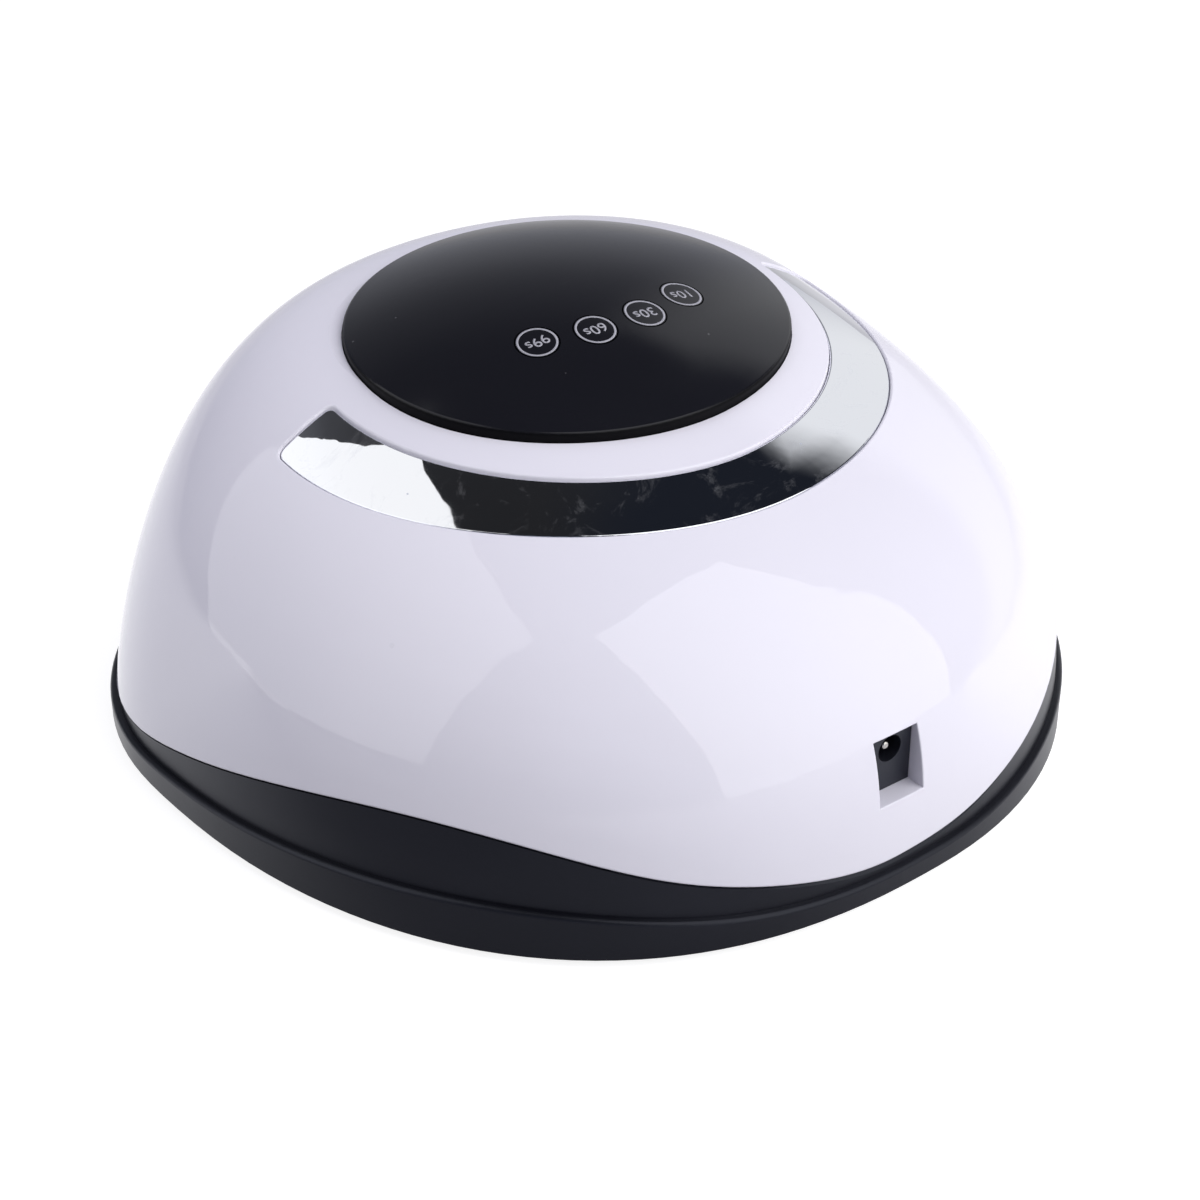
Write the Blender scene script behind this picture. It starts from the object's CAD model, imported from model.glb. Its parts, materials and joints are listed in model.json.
import bpy
import bmesh
import json
from math import cos, pi, radians, sin
from mathutils import Matrix, Vector
from mathutils.bvhtree import BVHTree


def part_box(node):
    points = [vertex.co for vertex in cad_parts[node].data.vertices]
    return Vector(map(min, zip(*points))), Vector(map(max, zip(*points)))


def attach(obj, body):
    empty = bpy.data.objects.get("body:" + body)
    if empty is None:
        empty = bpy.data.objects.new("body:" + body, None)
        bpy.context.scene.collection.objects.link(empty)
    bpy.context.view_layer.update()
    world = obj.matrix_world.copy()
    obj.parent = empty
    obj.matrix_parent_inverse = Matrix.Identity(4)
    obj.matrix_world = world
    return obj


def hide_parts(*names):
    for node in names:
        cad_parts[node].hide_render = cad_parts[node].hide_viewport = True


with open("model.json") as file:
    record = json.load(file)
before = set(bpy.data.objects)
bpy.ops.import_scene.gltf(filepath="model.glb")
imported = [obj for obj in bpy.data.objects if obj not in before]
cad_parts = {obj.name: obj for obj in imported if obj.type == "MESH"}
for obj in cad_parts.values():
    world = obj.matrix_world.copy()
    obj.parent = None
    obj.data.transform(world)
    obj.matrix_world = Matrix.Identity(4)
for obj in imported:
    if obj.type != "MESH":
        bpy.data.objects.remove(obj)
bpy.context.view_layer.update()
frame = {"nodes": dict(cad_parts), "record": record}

nodes = frame["nodes"]
scene = bpy.context.scene
doubles = 1e-7  # vertices nearer than this are one


# camera, at the photo's angle and distance

cameraSet = {
    "azimuth": 142.824,
    "elevation": 31.985,
    "target": Vector((0, 0.00895, 0.0015)),
    "distance": 0.61854,
    "right": -0.004569,
    "up": 0.01993,
    "lens": 77.661,
    "sensor": 36,
    "clipStart": 0.01,
}


def makeCamera(s):
    a, e = radians(s["azimuth"]), radians(s["elevation"])
    right = Vector((cos(a), sin(a), 0))
    up = Vector((-sin(a) * sin(e), cos(a) * sin(e), cos(e)))
    back = Vector((sin(a) * cos(e), -cos(a) * cos(e), sin(e)))
    data = bpy.data.cameras.new("camera")
    data.sensor_width = s["sensor"]
    data.lens = s["lens"]
    data.clip_start = s["clipStart"]
    cam = bpy.data.objects.new("camera", data)
    scene.collection.objects.link(cam)
    place = s["target"] + back * s["distance"] + right * s["right"] + up * s["up"]
    turn = Matrix((right, up, back)).transposed().to_4x4()
    cam.matrix_world = Matrix.Translation(place) @ turn
    scene.camera = cam


makeCamera(cameraSet)
print("camera placed")


# small helpers for shader nodes and meshes

def feed(tree, node, inputs):
    # a link from a socket, or a plain value
    for key, value in inputs.items():
        if isinstance(value, bpy.types.NodeSocket):
            tree.links.new(value, node.inputs[key])
        else:
            node.inputs[key].default_value = value
    return node


def add(tree, kind, inputs=None, **props):
    # a shader node, with its settings and what goes into its sockets
    node = tree.nodes.new("ShaderNode" + kind)
    for key, value in props.items():
        setattr(node, key, value)
    return feed(tree, node, inputs or {})


def ramp(tree, factor, *stops):
    # colour ramp from pairs of a position and a grey level or a colour
    node = add(tree, "ValToRGB", {"Fac": factor})
    elements = node.color_ramp.elements
    while len(elements) < len(stops):
        elements.new(0.5)
    for element, (place, value) in zip(elements, stops):
        element.position = place
        element.color = value if isinstance(value, tuple) else (value, value, value, 1)
    return node.outputs["Color"]


def mixColour(tree, factor, a, b, blend="MIX"):
    node = add(tree, "Mix", {0: factor, 6: a, 7: b}, data_type="RGBA", blend_type=blend)
    return node.outputs[2]


def maths(tree, operation, a, b=0.0, c=0.0):
    return add(tree, "Math", {0: a, 1: b, 2: c}, operation=operation).outputs[0]


def makeGroup(name, takes, gives):
    # node group with named sockets: takes has a default for each, gives has kinds
    group = bpy.data.node_groups.new(name, "ShaderNodeTree")
    for label, value in takes.items():
        kind = "NodeSocketFloat" if isinstance(value, float) else "NodeSocketColor"
        socket = group.interface.new_socket(label, in_out="INPUT", socket_type=kind)
        socket.default_value = value
    for label, kind in gives.items():
        group.interface.new_socket(label, in_out="OUTPUT", socket_type="NodeSocket" + kind)
    return group, group.nodes.new("NodeGroupInput"), group.nodes.new("NodeGroupOutput")


def useGroup(tree, group, inputs):
    node = tree.nodes.new("ShaderNodeGroup")
    node.node_tree = group
    return feed(tree, node, inputs).outputs


def finish(name, mesh, material, body):
    # object for a new piece, riding on its body
    for face in mesh.polygons:
        face.use_smooth = True
    mesh.materials.append(material)
    obj = bpy.data.objects.new(name, mesh)
    scene.collection.objects.link(obj)
    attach(obj, body)
    return obj


def toMesh(bm, name):
    mesh = bpy.data.meshes.new(name)
    bm.to_mesh(mesh)
    bm.free()
    return mesh


def pour(part, whole):
    # one bmesh into another
    mesh = toMesh(part, "part")
    whole.from_mesh(mesh)
    bpy.data.meshes.remove(mesh)


# effects that several finishes share

skinPattern = {
    "slow": {"Scale": 9.0, "Detail": 2.0},
    "patch": {"Scale": 55.0, "Detail": 5.0, "Distortion": 0.6},
    "peel": {"Scale": 260.0, "Detail": 1.0},
    "peelHeight": 0.15,
    "tintRamp": ((0.35, 0.0), (0.7, 1.0)),
    "smearRamp": ((0.45, 0.0), (0.72, 1.0)),
}


def makeMouldedSkin(s):
    # gloss plastic: slow change of tint, patches of handling and the mould's faint waves
    group, given, result = makeGroup(
        "mouldedSkin",
        {"Colour": (0.8, 0.8, 0.8, 1), "Tint": (0.7, 0.7, 0.75, 1), "Tint amount": 0.3,
         "Roughness": 0.1, "Handling": 0.05},
        {"Colour": "Color", "Roughness": "Float", "Height": "Float"},
    )
    coord = add(group, "TexCoord").outputs["Object"]
    slow = add(group, "TexNoise", {"Vector": coord, **s["slow"]}).outputs[0]
    patch = add(group, "TexNoise", {"Vector": coord, **s["patch"]}).outputs[0]
    peel = add(group, "TexNoise", {"Vector": coord, **s["peel"]}).outputs[0]
    tint = maths(group, "MULTIPLY", ramp(group, slow, *s["tintRamp"]), given.outputs["Tint amount"])
    colour = mixColour(group, tint, given.outputs["Colour"], given.outputs["Tint"])
    smear = ramp(group, patch, *s["smearRamp"])
    rough = maths(group, "MULTIPLY_ADD", smear, given.outputs["Handling"], given.outputs["Roughness"])
    height = maths(group, "MULTIPLY_ADD", peel, s["peelHeight"], slow)
    group.links.new(colour, result.inputs["Colour"])
    group.links.new(rough, result.inputs["Roughness"])
    group.links.new(height, result.inputs["Height"])
    return group


grainPattern = {
    "fineDetail": 2.0,
    "cloud": {"Scale": 24.0, "Detail": 4.0},
    "wornRamp": ((0.4, 0.0), (0.75, 1.0)),
}


def makeFineGrain(s):
    # etched mould texture: satin plastic, rubber and solder mask
    group, given, result = makeGroup(
        "fineGrain",
        {"Colour": (0.1, 0.1, 0.1, 1), "Worn": (0.2, 0.2, 0.2, 1), "Worn amount": 0.15,
         "Roughness": 0.45, "Spread": 0.1, "Grain": 2200.0},
        {"Colour": "Color", "Roughness": "Float", "Height": "Float"},
    )
    coord = add(group, "TexCoord").outputs["Object"]
    grain = add(group, "TexNoise", {"Vector": coord, "Scale": given.outputs["Grain"],
                                    "Detail": s["fineDetail"]}).outputs[0]
    cloud = add(group, "TexNoise", {"Vector": coord, **s["cloud"]}).outputs[0]
    worn = maths(group, "MULTIPLY", ramp(group, cloud, *s["wornRamp"]), given.outputs["Worn amount"])
    colour = mixColour(group, worn, given.outputs["Colour"], given.outputs["Worn"])
    rough = maths(group, "MULTIPLY_ADD", cloud, given.outputs["Spread"], given.outputs["Roughness"])
    group.links.new(colour, result.inputs["Colour"])
    group.links.new(rough, result.inputs["Roughness"])
    group.links.new(grain, result.inputs["Height"])
    return group


speckPattern = {"rarity": 0.86}  # share of the cells that stay clean


def makeDustSpecks(s):
    # sparse pale specks of dust, and a mask of where they lie
    group, given, result = makeGroup(
        "dustSpecks",
        {"Colour": (0, 0, 0, 1), "Dust": (0.5, 0.5, 0.52, 1), "Amount": 0.5, "Scale": 260.0,
         "Size": 0.1},
        {"Colour": "Color", "Mask": "Float"},
    )
    coord = add(group, "TexCoord").outputs["Object"]
    cells = add(group, "TexVoronoi", {"Vector": coord, "Scale": given.outputs["Scale"]})
    chance = add(group, "SeparateColor", {"Color": cells.outputs["Color"]})
    rare = maths(group, "GREATER_THAN", chance.outputs[0], s["rarity"])
    near = maths(group, "LESS_THAN", cells.outputs["Distance"], given.outputs["Size"])
    mask = maths(group, "MULTIPLY", maths(group, "MULTIPLY", rare, near), given.outputs["Amount"])
    colour = mixColour(group, mask, given.outputs["Colour"], given.outputs["Dust"])
    group.links.new(colour, result.inputs["Colour"])
    group.links.new(mask, result.inputs["Mask"])
    return group


brushPattern = {"stretch": (1.0, 0.06, 0.3), "detail": 3.0, "lineRamp": ((0.3, 0.0), (0.7, 1.0))}


def makeBrushed(s):
    # fine lines of rolled or turned metal
    group, given, result = makeGroup(
        "brushed",
        {"Colour": (0.6, 0.6, 0.6, 1), "Dark": (0.4, 0.4, 0.4, 1), "Roughness": 0.3,
         "Spread": 0.15, "Scale": 900.0},
        {"Colour": "Color", "Roughness": "Float", "Height": "Float"},
    )
    coord = add(group, "TexCoord").outputs["Object"]
    stretch = add(group, "Mapping", {"Vector": coord, "Scale": s["stretch"]})
    lines = add(group, "TexNoise", {"Vector": stretch.outputs[0], "Scale": given.outputs["Scale"],
                                    "Detail": s["detail"]}).outputs[0]
    factor = ramp(group, lines, *s["lineRamp"])
    colour = mixColour(group, factor, given.outputs["Colour"], given.outputs["Dark"])
    rough = maths(group, "MULTIPLY_ADD", factor, given.outputs["Spread"], given.outputs["Roughness"])
    group.links.new(colour, result.inputs["Colour"])
    group.links.new(rough, result.inputs["Roughness"])
    group.links.new(lines, result.inputs["Height"])
    return group


mouldedSkin = makeMouldedSkin(skinPattern)
fineGrain = makeFineGrain(grainPattern)
dustSpecks = makeDustSpecks(speckPattern)
brushed = makeBrushed(brushPattern)


# finishes

def newMaterial(name, **sockets):
    mat = bpy.data.materials.new(name)
    mat.use_nodes = True
    shader = mat.node_tree.nodes["Principled BSDF"]
    for key, value in sockets.items():
        shader.inputs[key.replace("_", " ")].default_value = value
    return mat, mat.node_tree, shader


def join(tree, shader, colour=None, roughness=None, height=None, strength=0.0, distance=0.0):
    # what varies over the surface goes into the shader
    if colour is not None:
        tree.links.new(colour, shader.inputs["Base Color"])
    if roughness is not None:
        tree.links.new(roughness, shader.inputs["Roughness"])
    if height is not None:
        bump = add(tree, "Bump", {"Height": height, "Strength": strength, "Distance": distance})
        tree.links.new(bump.outputs[0], shader.inputs["Normal"])


waveDepth = 0.0004  # of gloss plastic and plating
grainDepth = 0.0001  # of satin plastic
lineDepth = 0.00005  # of brushed metal
speckMatt = 0.4  # how much rougher a speck of dust is
speckSize = 0.07  # share of its cell
grainSpread = 0.1


def skinAndDust(tree, s, tintAmount, size):
    skin = useGroup(tree, mouldedSkin, {
        "Colour": s["colour"], "Tint": s["tint"], "Tint amount": tintAmount,
        "Roughness": s["roughness"], "Handling": s["handling"]})
    dust = useGroup(tree, dustSpecks, {
        "Colour": skin["Colour"], "Dust": s["dust"], "Amount": s["dustAmount"],
        "Scale": s["dustScale"], "Size": size})
    return skin, dust


def glossPlastic(name, s):
    mat, tree, shader = newMaterial(name, IOR=s["ior"])
    skin, dust = skinAndDust(tree, s, s["tintAmount"], speckSize)
    rough = maths(tree, "ADD", skin["Roughness"], maths(tree, "MULTIPLY", dust["Mask"], speckMatt))
    colour = dust["Colour"]
    if "edgeColour" in s:
        # the moulded edge below the crown is matt
        normal = add(tree, "SeparateXYZ", {0: add(tree, "TexCoord").outputs["Normal"]}).outputs["Z"]
        crown, side = s["edgeFrom"], s["edgeTo"]
        edge = add(tree, "MapRange", {"Value": normal, "From Min": crown, "From Max": side}).outputs[0]
        colour = mixColour(tree, edge, colour, s["edgeColour"])
        rough = maths(tree, "MULTIPLY_ADD", edge, s["edgeRoughness"], rough)
        level = maths(tree, "MULTIPLY_ADD", edge, s["edgeSpecular"] - s["specular"], s["specular"])
        tree.links.new(level, shader.inputs["Specular IOR Level"])
    join(tree, shader, colour, rough, skin["Height"], s["bump"], waveDepth)
    return mat


def satinPlastic(name, s):
    mat, tree, shader = newMaterial(name, IOR=s.get("ior", 1.5))
    shader.inputs["Specular Tint"].default_value = s.get("gloss", (1, 1, 1, 1))
    grain = useGroup(tree, fineGrain, {
        "Colour": s["colour"], "Worn": s["worn"], "Worn amount": s["wornAmount"],
        "Roughness": s["roughness"], "Spread": grainSpread, "Grain": s["grain"]})
    join(tree, shader, grain["Colour"], grain["Roughness"], grain["Height"], s["bump"],
         s.get("depth", grainDepth))
    return mat


def metal(name, s):
    mat, tree, shader = newMaterial(name, Metallic=1.0)
    lines = useGroup(tree, brushed, {
        "Colour": s["colour"], "Dark": s["dark"], "Roughness": s["roughness"],
        "Spread": s["spread"], "Scale": s["scale"]})
    join(tree, shader, lines["Colour"], lines["Roughness"], lines["Height"], s["bump"], lineDepth)
    return mat


platingSkin = {"tintAmount": 0.4, "speckSize": 0.06}
smudges = {
    "noise": {"Detail": 6.0, "Roughness": 0.7, "Distortion": 1.5},
    "ramp": ((0.55, 0.0), (0.75, 1.0)),
    "matt": 0.3,
}


def plating(name, s):
    # chrome or vacuum plating over plastic: clear reflections, a few specks and faint waves
    mat, tree, shader = newMaterial(name, Metallic=1.0)
    skin, dust = skinAndDust(tree, s, platingSkin["tintAmount"], platingSkin["speckSize"])
    coord = add(tree, "TexCoord").outputs["Object"]
    smudge = add(tree, "TexNoise", {"Vector": coord, "Scale": s["smudgeScale"], **smudges["noise"]})
    smudge = maths(tree, "MULTIPLY", ramp(tree, smudge.outputs[0], *smudges["ramp"]), s["smudge"])
    colour = mixColour(tree, smudge, dust["Colour"], s["dust"])
    matt = maths(tree, "MAXIMUM", smudge, dust["Mask"])
    tree.links.new(maths(tree, "SUBTRACT", 1.0, matt), shader.inputs["Metallic"])
    rough = maths(tree, "MULTIPLY_ADD", matt, smudges["matt"], skin["Roughness"])
    join(tree, shader, colour, rough, skin["Height"], s["bump"], waveDepth)
    return mat


def clearLens(name, s):
    mat, tree, shader = newMaterial(name, Base_Color=s["colour"], IOR=s["ior"], Transmission_Weight=1.0)
    coord = add(tree, "TexCoord").outputs["Object"]
    ripple = add(tree, "TexNoise", {"Vector": coord, "Scale": s["ripple"]})
    rough = maths(tree, "MULTIPLY_ADD", ripple.outputs[0], s["spread"], s["roughness"])
    join(tree, shader, None, rough)
    return mat


solderMask = {
    "trackWidth": 0.012,
    "grain": {"Worn amount": 0.3, "Roughness": 0.35, "Spread": 0.15, "Grain": 1500.0},
    "bump": 0.2,
    "depth": 0.00005,
}


def circuitBoard(name, s):
    # solder mask over copper tracks
    mat, tree, shader = newMaterial(name)
    coord = add(tree, "TexCoord").outputs["Object"]
    tracks = add(tree, "TexBrick", {
        "Vector": coord, "Scale": s["scale"], "Mortar Size": solderMask["trackWidth"],
        "Color1": s["colour"], "Color2": s["second"], "Mortar": s["track"]}).outputs
    grain = useGroup(tree, fineGrain, {
        "Colour": tracks["Color"], "Worn": s["second"], **solderMask["grain"]})
    join(tree, shader, grain["Colour"], grain["Roughness"], tracks["Fac"], solderMask["bump"],
         solderMask["depth"])
    return mat


def coilWire(name, s):
    # enamelled turns round the ring
    mat, tree, shader = newMaterial(name, Metallic=s["metallic"])
    coord = add(tree, "TexCoord").outputs["Object"]
    low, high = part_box("main_board_coil")
    centre = (Vector(low) + Vector(high)) / 2
    local = add(tree, "Mapping", {"Vector": coord, "Location": -centre})
    turns = add(tree, "TexGradient", {"Vector": local.outputs[0]}, gradient_type="RADIAL")
    wave = maths(tree, "SINE", maths(tree, "MULTIPLY", turns.outputs["Fac"], 2 * pi * s["turns"]))
    level = maths(tree, "MULTIPLY_ADD", wave, 0.5, 0.5)
    colour = mixColour(tree, level, s["dark"], s["colour"])
    rough = maths(tree, "MULTIPLY_ADD", level, s["spread"], s["roughness"])
    join(tree, shader, colour, rough, level, s["bump"], s["depth"])
    return mat


finishes = {
    "shell_white": glossPlastic("shellWhite", {
        "colour": (0.80, 0.785, 0.865, 1), "tint": (0.77, 0.765, 0.86, 1), "tintAmount": 0.35,
        "roughness": 0.012, "handling": 0.015, "ior": 1.52, "dust": (0.55, 0.55, 0.6, 1),
        "dustAmount": 0.15, "dustScale": 110.0, "bump": 0.03}),
    "panel_black": glossPlastic("panelBlack", {
        "colour": (0.0085, 0.0087, 0.012, 1), "tint": (0.012, 0.0125, 0.018, 1),
        "tintAmount": 0.5, "roughness": 0.13, "handling": 0.05, "ior": 1.4,
        "edgeColour": (0.003, 0.003, 0.004, 1), "edgeRoughness": 0.3, "edgeFrom": 0.8,
        "edgeTo": 0.45, "specular": 0.5, "edgeSpecular": 0.1,
        "dust": (0.3, 0.3, 0.32, 1), "dustAmount": 0.22, "dustScale": 190.0, "bump": 0.02}),
    "display_black": glossPlastic("displayBlack", {
        "colour": (0.01, 0.01, 0.012, 1), "tint": (0.02, 0.012, 0.012, 1), "tintAmount": 0.5,
        "roughness": 0.08, "handling": 0.05, "ior": 1.5, "dust": (0.3, 0.3, 0.3, 1),
        "dustAmount": 0.1, "dustScale": 300.0, "bump": 0.02}),
    "sensor_dark": glossPlastic("sensorDark", {
        "colour": (0.02, 0.006, 0.02, 1), "tint": (0.05, 0.01, 0.04, 1), "tintAmount": 0.6,
        "roughness": 0.06, "handling": 0.05, "ior": 1.55, "dust": (0.3, 0.3, 0.3, 1),
        "dustAmount": 0.1, "dustScale": 300.0, "bump": 0.02}),
    "chrome": plating("chromeBand", {
        "colour": (0.93, 0.94, 0.97, 1), "tint": (0.86, 0.88, 0.94, 1), "roughness": 0.015,
        "handling": 0.03, "dust": (0.3, 0.36, 0.5, 1), "dustAmount": 0.5,
        "dustScale": 240.0, "bump": 0.1, "smudge": 0.1, "smudgeScale": 70.0}),
    "liner_silver": plating("linerPlating", {
        "colour": (0.78, 0.79, 0.80, 1), "tint": (0.70, 0.71, 0.74, 1), "roughness": 0.16,
        "handling": 0.05, "dust": (0.6, 0.6, 0.6, 1), "dustAmount": 0.3,
        "dustScale": 200.0, "bump": 0.12, "smudge": 0.03, "smudgeScale": 40.0}),
    "sheet_mirror": plating("trayFilm", {
        "colour": (0.80, 0.81, 0.82, 1), "tint": (0.7, 0.71, 0.74, 1), "roughness": 0.2,
        "handling": 0.04, "dust": (0.6, 0.6, 0.6, 1), "dustAmount": 0.3,
        "dustScale": 200.0, "bump": 0.15, "smudge": 0.02, "smudgeScale": 40.0}),
    "magnet": plating("magnetNickel", {
        "colour": (0.62, 0.61, 0.59, 1), "tint": (0.5, 0.5, 0.5, 1), "roughness": 0.15,
        "handling": 0.2, "dust": (0.3, 0.3, 0.3, 1), "dustAmount": 0.4,
        "dustScale": 500.0, "bump": 0.1, "smudge": 0.12, "smudgeScale": 40.0}),
    "base_black": satinPlastic("baseBlack", {
        "colour": (0.0042, 0.0044, 0.007, 1), "worn": (0.0085, 0.0088, 0.014, 1), "ior": 1.46,
        "gloss": (0.8, 0.84, 1.0, 1),
        "wornAmount": 0.4, "roughness": 0.3, "grain": 2600.0, "bump": 0.12}),
    "socket_black": satinPlastic("socketBlack", {
        "colour": (0.011, 0.012, 0.018, 1), "worn": (0.028, 0.03, 0.042, 1),
        "gloss": (0.85, 0.9, 1.0, 1), "wornAmount": 0.4, "roughness": 0.3, "grain": 3000.0,
        "bump": 0.1}),
    "switch_black": satinPlastic("switchBlack", {
        "colour": (0.015, 0.015, 0.016, 1), "worn": (0.04, 0.04, 0.04, 1),
        "wornAmount": 0.3, "roughness": 0.4, "grain": 3500.0, "bump": 0.15}),
    "rubber": satinPlastic("footRubber", {
        "colour": (0.014, 0.014, 0.014, 1), "worn": (0.05, 0.05, 0.048, 1),
        "wornAmount": 0.5, "roughness": 0.7, "grain": 1500.0, "bump": 0.3}),
    "connector_white": satinPlastic("connectorNylon", {
        "colour": (0.62, 0.59, 0.5, 1), "worn": (0.5, 0.46, 0.36, 1),
        "wornAmount": 0.3, "roughness": 0.4, "grain": 2500.0, "bump": 0.1}),
    "lead_grey": satinPlastic("leadSleeve", {
        "colour": (0.08, 0.08, 0.09, 1), "worn": (0.13, 0.13, 0.14, 1),
        "wornAmount": 0.4, "roughness": 0.5, "grain": 1800.0, "bump": 0.2}),
    "steel": metal("screwSteel", {
        "colour": (0.55, 0.55, 0.54, 1), "dark": (0.4, 0.4, 0.4, 1), "roughness": 0.25,
        "spread": 0.15, "scale": 1500.0, "bump": 0.2}),
    "contact_metal": metal("contactNickel", {
        "colour": (0.78, 0.76, 0.72, 1), "dark": (0.6, 0.58, 0.54, 1), "roughness": 0.12,
        "spread": 0.1, "scale": 2500.0, "bump": 0.1}),
    "can_aluminium": metal("canAluminium", {
        "colour": (0.66, 0.66, 0.68, 1), "dark": (0.5, 0.5, 0.52, 1), "roughness": 0.3,
        "spread": 0.15, "scale": 1200.0, "bump": 0.15}),
    "coil_copper": coilWire("coilCopper", {
        "colour": (0.55, 0.2, 0.07, 1), "dark": (0.12, 0.03, 0.01, 1), "turns": 30,
        "metallic": 0.7, "roughness": 0.25, "spread": 0.15, "bump": 0.6, "depth": 0.0004}),
    "board_green": circuitBoard("boardGreen", {
        "colour": (0.008, 0.06, 0.02, 1), "second": (0.01, 0.08, 0.03, 1),
        "track": (0.03, 0.16, 0.06, 1), "scale": 140.0}),
    "board_white": circuitBoard("boardWhite", {
        "colour": (0.6, 0.6, 0.58, 1), "second": (0.56, 0.56, 0.55, 1),
        "track": (0.45, 0.44, 0.4, 1), "scale": 90.0}),
    "lamp_clear": clearLens("lampLens", {
        "colour": (0.96, 0.95, 1.0, 1), "ior": 1.5, "roughness": 0.02, "spread": 0.06,
        "ripple": 400.0}),
}
for part in frame["record"]["subparts"]:
    for place in nodes[part["node"]].material_slots:
        place.material = finishes[part["material_slot"]]
print("finishes on", len(nodes), "nodes")


# rings and numbers printed on the time keys

keyPrint = {
    "labels": ("10s", "30s", "60s", "99s"),
    "ringOuter": 0.0046,
    "ringWidth": 0.0005,
    "textHeight": 0.00305,
    "textBold": 0.006,
    "lift": 0.00003,
    "thickness": 0.00004,
    "crownTilt": 4.39,
    "ringSteps": 72,
    "curveSteps": 6,
    "sizeForHeight": 1.35,
    "dropFrom": 0.02,
    "ink": {"colour": (0.42, 0.42, 0.47, 1), "worn": (0.3, 0.3, 0.34, 1), "wornAmount": 0.5,
            "roughness": 0.3, "grain": 4000.0, "bump": 0.05, "depth": 0.00002},
}


def textMesh(label, size, bold, steps):
    curve = bpy.data.curves.new(label, "FONT")
    curve.body = label
    curve.size = size
    curve.align_x = "CENTER"
    curve.align_y = "CENTER"
    curve.offset = size * bold
    curve.resolution_u = steps
    obj = bpy.data.objects.new(label, curve)
    scene.collection.objects.link(obj)
    depsgraph = bpy.context.evaluated_depsgraph_get()
    mesh = bpy.data.meshes.new_from_object(obj.evaluated_get(depsgraph))
    bpy.data.objects.remove(obj)
    bm = bmesh.new()
    bm.from_mesh(mesh)
    bmesh.ops.remove_doubles(bm, verts=bm.verts, dist=doubles)
    return bm


def dropOnto(bm, node, direction, s):
    # lower a flat print onto a node's surface, then give it its thickness
    cad = bmesh.new()
    cad.from_mesh(nodes[node].data)
    tree = BVHTree.FromBMesh(cad)
    for v in bm.verts:
        hit = tree.ray_cast(v.co - direction * s["dropFrom"], direction)[0]
        if hit is not None:
            v.co = hit - direction * s["lift"]
    cad.free()
    faces = bm.faces[:]
    bmesh.ops.recalc_face_normals(bm, faces=faces)
    bmesh.ops.solidify(bm, geom=faces, thickness=s["thickness"])


def makeKeyPrints(s, ink):
    tilt = radians(s["crownTilt"])
    down = Vector((0, -sin(tilt), -cos(tilt)))
    turn = Matrix.Rotation(-tilt, 4, "X")
    for label in s["labels"]:
        key = "key_" + label
        spots = [v.co for v in nodes[key].data.vertices]
        centre = (min(spots, key=lambda p: p.y) + max(spots, key=lambda p: p.y)) / 2
        centre.x = (min(p.x for p in spots) + max(p.x for p in spots)) / 2
        place = Matrix.Translation(centre) @ turn
        ring = bmesh.new()
        bmesh.ops.create_circle(ring, segments=s["ringSteps"], radius=s["ringOuter"])
        out = bmesh.ops.extrude_edge_only(ring, edges=ring.edges[:])
        inner = [g for g in out["geom"] if isinstance(g, bmesh.types.BMVert)]
        scale = 1 - s["ringWidth"] / s["ringOuter"]
        bmesh.ops.scale(ring, vec=(scale, scale, 1), verts=inner)
        bmesh.ops.transform(ring, matrix=place, verts=ring.verts)
        dropOnto(ring, key, down, s)
        finish("ringPrint_" + label, toMesh(ring, "ringPrint_" + label), ink, key)
        text = textMesh(label, s["textHeight"] * s["sizeForHeight"], s["textBold"], s["curveSteps"])
        bmesh.ops.transform(text, matrix=place, verts=text.verts)
        dropOnto(text, key, down, s)
        finish("numberPrint_" + label, toMesh(text, "numberPrint_" + label), ink, key)


makeKeyPrints(keyPrint, satinPlastic("printInk", keyPrint["ink"]))
print("key prints made")


# cup, chip and bond wires inside each lamp

lampInside = {
    "boards": ("top", "right_slope", "left_slope", "right_side", "left_side", "back"),
    "cup": ((0.0, 0.0002), (0.0023, 0.0002), (0.0024, 0.0003), (0.0024, 0.0012), (0.0022, 0.0012),
            (0.0013, 0.0005), (0.0, 0.0005)),
    "steps": 28,
    "chip": 0.0012,
    "chipHeight": 0.0003,
    "chipAt": 0.00065,
    "chipBevel": 0.00006,
    "wire": 0.00005,
    "wireSides": 6,
    "wireRise": 0.0005,
    "wireSteps": (0, 0.2, 0.4, 0.6, 0.8, 1),
    "wireStart": 0.4,  # in halves of the chip, as is the reach
    "wireReach": 3.0,
    "chipFinish": {"colour": (0.3, 0.12, 0.55, 1), "tint": (0.35, 0.3, 0.1, 1), "tintAmount": 0.4,
                   "roughness": 0.2, "handling": 0.1, "ior": 1.6, "dust": (0.4, 0.4, 0.4, 1),
                   "dustAmount": 0.1, "dustScale": 600.0, "bump": 0.05},
    "cupFinish": {"colour": (0.93, 0.92, 0.9, 1), "dark": (0.8, 0.79, 0.76, 1), "roughness": 0.15,
                  "spread": 0.1, "scale": 2500.0, "bump": 0.05},
}


def turned(bm, profile, steps):
    # full turn of an outline of (radius, height) pairs about Z
    verts = [bm.verts.new((r, 0, z)) for r, z in profile]
    edges = [bm.edges.new(pair) for pair in zip(verts, verts[1:])]
    bmesh.ops.spin(bm, geom=verts + edges, axis=(0, 0, 1), cent=(0, 0, 0), steps=steps, angle=2 * pi,
                   use_merge=True)
    bmesh.ops.remove_doubles(bm, verts=bm.verts, dist=doubles)
    bmesh.ops.recalc_face_normals(bm, faces=bm.faces)


flatness = 1e-5  # how far from its plane a foot's vertex may lie


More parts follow.
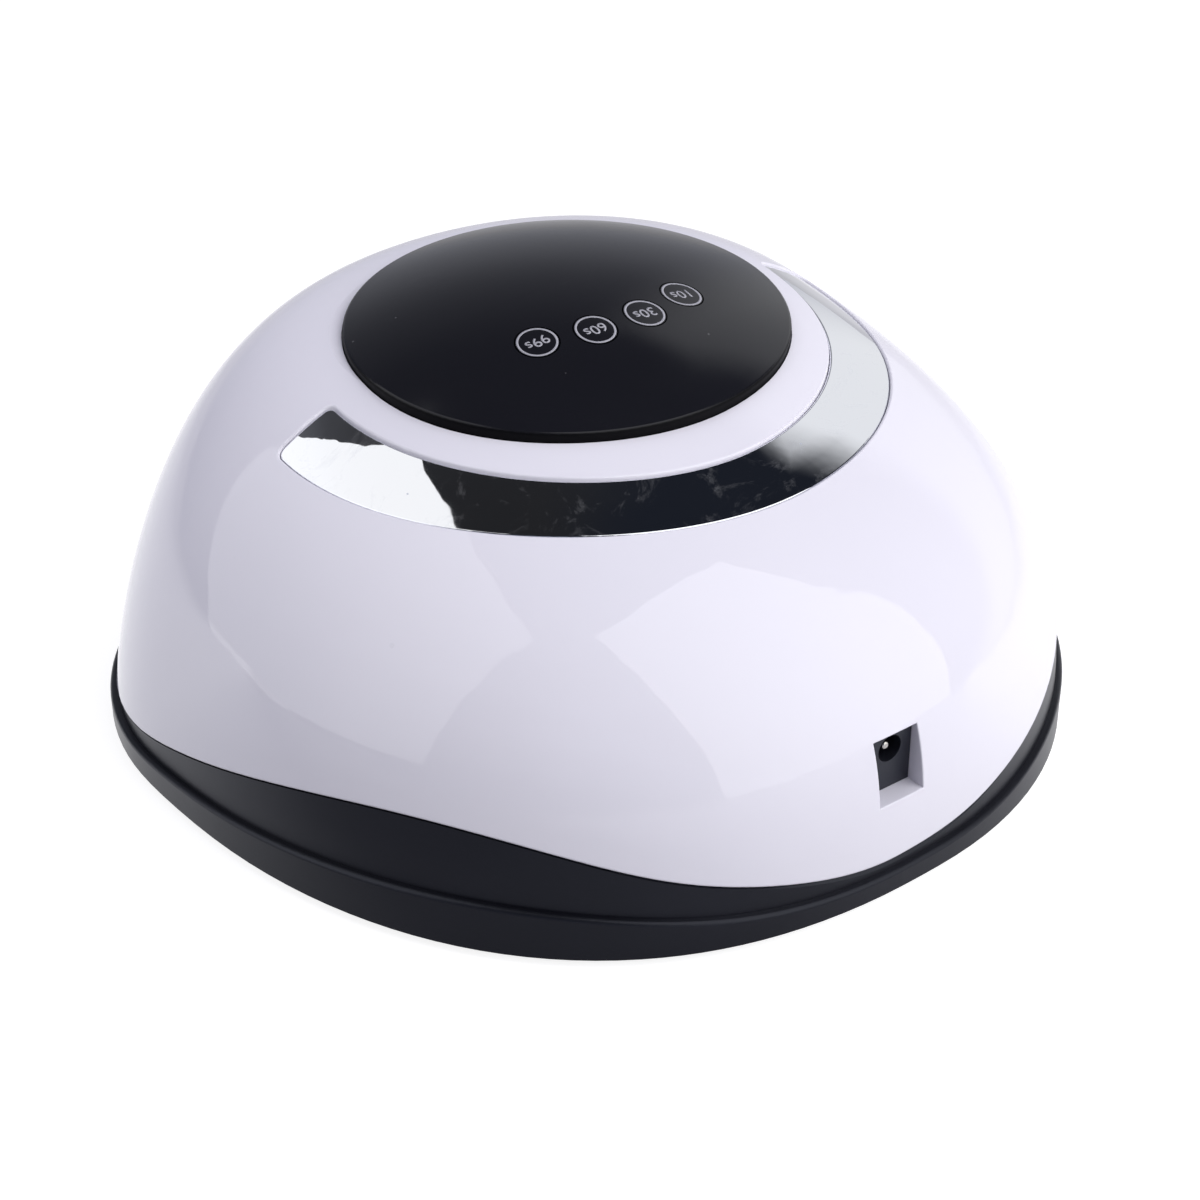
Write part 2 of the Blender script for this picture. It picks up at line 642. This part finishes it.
def seatsOf(node):
    # where each loose solid of a node sits: the middle of its flat foot, and the way it points
    bm = bmesh.new()
    bm.from_mesh(nodes[node].data)
    bmesh.ops.remove_doubles(bm, verts=bm.verts, dist=doubles)
    bm.verts.index_update()
    bm.faces.index_update()
    left = set(bm.verts)
    seats = []
    while left:
        group = {left.pop()}
        newest = set(group)
        while newest:
            newest = {e.other_vert(v) for v in newest for e in v.link_edges} - group
            group |= newest
        left -= group
        group = sorted(group, key=lambda v: v.index)
        areas = {}
        for face in sorted({f for v in group for f in v.link_faces}, key=lambda f: f.index):
            way = tuple(round(c, 2) for c in face.normal)
            areas[way] = areas.get(way, 0) + face.calc_area()
        axis = -Vector(max(areas, key=areas.get)).normalized()
        low = min(v.co.dot(axis) for v in group)
        foot = [v.co for v in group if v.co.dot(axis) < low + flatness]
        seats.append((sum(foot, Vector()) / len(foot), axis))
    bm.free()
    return sorted(seats, key=lambda seat: tuple(round(c, 5) for c in seat[0]))


def makeLampInsides(s):
    cupFinish = metal("lampCup", s["cupFinish"])
    chipFinish = glossPlastic("lampChip", s["chipFinish"])
    half = s["chip"] / 2
    top = s["chipAt"] + s["chipHeight"] / 2
    for board in s["boards"]:
        cups = bmesh.new()
        chips = bmesh.new()
        for spot, axis in seatsOf("led_lamps_" + board):
            place = Matrix.Translation(spot) @ axis.to_track_quat("Z", "Y").to_matrix().to_4x4()
            cup = bmesh.new()
            turned(cup, s["cup"], s["steps"])
            for side in (-1, 1):
                # a wire from the chip's top to the cup's wall
                rings = []
                for t in s["wireSteps"]:
                    x = side * half * (s["wireStart"] + s["wireReach"] * t)
                    z = top + s["wireRise"] * 4 * t * (1 - t)
                    ring = bmesh.ops.create_circle(cup, segments=s["wireSides"], radius=s["wire"],
                                                   cap_ends=t in (0, 1))["verts"]
                    bmesh.ops.rotate(cup, verts=ring, matrix=Matrix.Rotation(radians(90), 3, "Y"))
                    bmesh.ops.translate(cup, verts=ring, vec=(x, 0, z))
                    rings.append([e for e in cup.edges if e.verts[0] in ring and e.verts[1] in ring])
                for first, second in zip(rings, rings[1:]):
                    bmesh.ops.bridge_loops(cup, edges=first + second)
            bmesh.ops.recalc_face_normals(cup, faces=cup.faces)
            chip = bmesh.new()
            bmesh.ops.create_cube(chip, size=1.0)
            bmesh.ops.scale(chip, vec=(s["chip"], s["chip"], s["chipHeight"]), verts=chip.verts)
            bmesh.ops.bevel(chip, geom=chip.edges[:], offset=s["chipBevel"], affect="EDGES", segments=2,
                            profile=0.5, material=-1)
            bmesh.ops.translate(chip, verts=chip.verts, vec=(0, 0, s["chipAt"]))
            for part, whole in ((cup, cups), (chip, chips)):
                bmesh.ops.transform(part, matrix=place, verts=part.verts)
                pour(part, whole)
        finish("lampCups_" + board, toMesh(cups, "lampCups_" + board), cupFinish, "lamp")
        finish("lampChips_" + board, toMesh(chips, "lampChips_" + board), chipFinish, "lamp")


makeLampInsides(lampInside)
print("lamp cups and chips made")


# rubber feet with rings moulded in their faces

feet = {"edge": 0.0004, "ringPitch": 0.0013, "ringWidth": 0.0006, "ringDepth": 0.00035, "steps": 56}


def makeFeet(s):
    whole = bmesh.new()
    low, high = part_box("tray_feet")
    spots = [seat for seat, axis in seatsOf("tray_feet")]
    radius = high[0] - max(spot.x for spot in spots)
    height = high[2] - low[2]
    profile = [(0.0, height), (radius - s["edge"], height), (radius, height - s["edge"]),
               (radius, s["edge"]), (radius - s["edge"], 0.0)]
    slope = s["ringDepth"] / 2
    r = radius - s["edge"] - s["ringPitch"] / 2
    while r > 2 * s["ringPitch"]:
        profile += [(r, 0.0), (r - slope, s["ringDepth"]), (r - s["ringWidth"], s["ringDepth"]),
                    (r - s["ringWidth"] - slope, 0.0)]
        r -= s["ringPitch"]
    profile.append((0.0, 0.0))
    for spot in spots:
        foot = bmesh.new()
        turned(foot, profile, s["steps"])
        bmesh.ops.translate(foot, verts=foot.verts, vec=(spot.x, spot.y, low[2]))
        pour(foot, whole)
    piece = finish("ringedFeet", toMesh(whole, "ringedFeet"), finishes["rubber"], "tray")
    for face in piece.data.polygons:
        face.use_smooth = False
    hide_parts("tray_feet")


makeFeet(feet)
print("feet made")


# studio: pale floor, two soft boxes and the walls round them

studio = {
    "floorSize": 8.0,
    "floorRoughness": 0.9,
    "floorColour": (0.3, 0.3, 0.315, 1),
    "floorLit": (0.66, 0.66, 0.67, 1),
    "floorLitFade": (-0.1, 0.25),
    "floorGlow": 0.84,
    # what gloss sees of the floor, from the lamp's far side to the photo's side
    "floorShine": ((-0.45, 0.35), (-0.1, 0.9), (0.03, 1.0), (0.11, 0.05)),
    "sideShine": -0.3,
    "sideShineFade": (0.02, 0.11),
    "boxes": {
        # middle, point it faces, turn about its own axis, width and height, brightness
        "keyBox": ((-0.295, 0.704, 0.863), (-0.173, 0.26, 0.669), 0, (1.07, 1.83), 1.4),
        "leftBox": ((0.916, -0.275, 0.936), (0.557, 0, 0.722), 13, (1.41, 1.98), 0.96),
    },
    # what the walls give: behind, on the side that the power socket faces, and how high
    "wallSide": (-0.588, 0.809, 0.0),
    "wallFade": (-0.12, 0.12),
    "wallTop": (0.70, 0.78),
    "wallSlant": (0.85, 1.03),
    "wallShine": (0.82, 0.83, 0.85, 1),
    "aboveWall": (0.011, 0.013, 0.019, 1),
    "dimFade": (-0.6, -0.95),
    "dimFront": (0.25, 0.7),
    "dimmed": (0.22, 0.24, 0.3, 1),
    "shine": ((-0.3, 0.58), (0.0, 0.55), (0.3, 0.46), (0.5, 0.28), (0.67, 0.16), (0.78, 0.06),
              (0.87, 0.03), (0.94, 0.02), (1.0, 0.018)),
    "shineTint": (0.88, 0.9, 1.0, 1),
    "ambient": (0.52, 0.52, 0.6, 1),
    "frontSide": (0.6, 0.8, 0.0),
    "frontFade": (-0.3, 0.6),
    "frontAmbient": (0.0, 0.0, 0.03, 1),
    "wallAmbient": (1.3, 1.28, 1.3, 1),
    "ambientFade": (0.1, 1.0),
}


def along(tree, vector, direction):
    return add(tree, "VectorMath", {0: vector, 1: direction}, operation="DOT_PRODUCT").outputs["Value"]


def fade(tree, value, low, top):
    return add(tree, "MapRange", {"Value": value, "From Min": low, "From Max": top},
               interpolation_type="SMOOTHSTEP").outputs[0]


def makeFloor(s):
    bm = bmesh.new()
    bmesh.ops.create_grid(bm, x_segments=1, y_segments=1, size=s["floorSize"] / 2)
    floor = bpy.data.objects.new("floor", toMesh(bm, "floor"))
    scene.collection.objects.link(floor)
    mat, tree, shader = newMaterial("floorPaper", Roughness=s["floorRoughness"],
                                    Specular_IOR_Level=0.0, Emission_Color=(1, 1, 1, 1))
    coord = add(tree, "TexCoord").outputs["Object"]
    front = along(tree, coord, s["frontSide"])
    lit = fade(tree, along(tree, coord, s["wallSide"]), *s["floorLitFade"])
    tree.links.new(mixColour(tree, lit, s["floorColour"], s["floorLit"]), shader.inputs["Base Color"])
    stops = [((place + 1) / 2, grey) for place, grey in s["floorShine"]]
    shine = ramp(tree, maths(tree, "MULTIPLY_ADD", front, 0.5, 0.5), *stops)
    near = fade(tree, along(tree, coord, s["wallSide"]), *s["sideShineFade"])
    shine = maths(tree, "MULTIPLY", shine, maths(tree, "MULTIPLY_ADD", near, s["sideShine"], 1.0))
    path = add(tree, "LightPath").outputs
    shine = maths(tree, "MULTIPLY", shine, path["Is Glossy Ray"])
    seen = maths(tree, "MAXIMUM", path["Is Camera Ray"], path["Is Transmission Ray"])
    glow = maths(tree, "MULTIPLY_ADD", seen, s["floorGlow"], shine)
    tree.links.new(glow, shader.inputs["Emission Strength"])
    floor.data.materials.append(mat)


def makeLamps(s):
    for name, (middle, facing, turn, dims, brightness) in s["boxes"].items():
        data = bpy.data.lights.new(name, "AREA")
        data.shape = "RECTANGLE"
        data.size, data.size_y = dims
        data.energy = brightness * pi * dims[0] * dims[1]
        lamp = bpy.data.objects.new(name, data)
        scene.collection.objects.link(lamp)
        away = (Vector(middle) - Vector(facing)).to_track_quat("Z", "Y").to_matrix().to_4x4()
        lamp.matrix_world = Matrix.Translation(middle) @ away @ Matrix.Rotation(radians(turn), 4, "Z")


def makeWorld(s):
    # grey that darkens overhead, a pale wall on one side, and softer levels for what is matt
    world = bpy.data.worlds.new("studio")
    scene.world = world
    world.use_nodes = True
    tree = world.node_tree
    way = add(tree, "TexCoord").outputs["Generated"]
    side = along(tree, way, s["wallSide"])
    high = add(tree, "SeparateXYZ", {0: way}).outputs["Z"]
    level = maths(tree, "MULTIPLY_ADD", high, 0.5, 0.5)
    stops = [((place + 1) / 2, grey) for place, grey in s["shine"]]
    sky = mixColour(tree, 1.0, ramp(tree, level, *stops), s["shineTint"], "MULTIPLY")
    slanted = fade(tree, maths(tree, "ADD", high, side), *s["wallSlant"])
    over = maths(tree, "MAXIMUM", fade(tree, high, *s["wallTop"]), slanted)
    wall = mixColour(tree, over, s["wallShine"], s["aboveWall"])
    sky = mixColour(tree, fade(tree, side, *s["wallFade"]), sky, wall)
    front = along(tree, way, s["frontSide"])
    dim = maths(tree, "MAXIMUM", fade(tree, side, *s["dimFade"]), fade(tree, front, *s["dimFront"]))
    sky = mixColour(tree, dim, sky, mixColour(tree, 1.0, sky, s["dimmed"], "MULTIPLY"))
    matt = mixColour(tree, fade(tree, front, *s["frontFade"]), s["ambient"], s["frontAmbient"])
    matt = mixColour(tree, fade(tree, side, *s["ambientFade"]), matt, s["wallAmbient"])
    path = add(tree, "LightPath").outputs
    clear = maths(tree, "MAXIMUM", path["Is Camera Ray"], path["Is Transmission Ray"])
    colour = mixColour(tree, path["Is Glossy Ray"], matt, sky)
    colour = mixColour(tree, clear, colour, (1, 1, 1, 1))
    tree.links.new(colour, tree.nodes["Background"].inputs["Color"])


makeFloor(studio)
makeLamps(studio)
makeWorld(studio)
scene.view_settings.view_transform = "Standard"
print("studio lit")
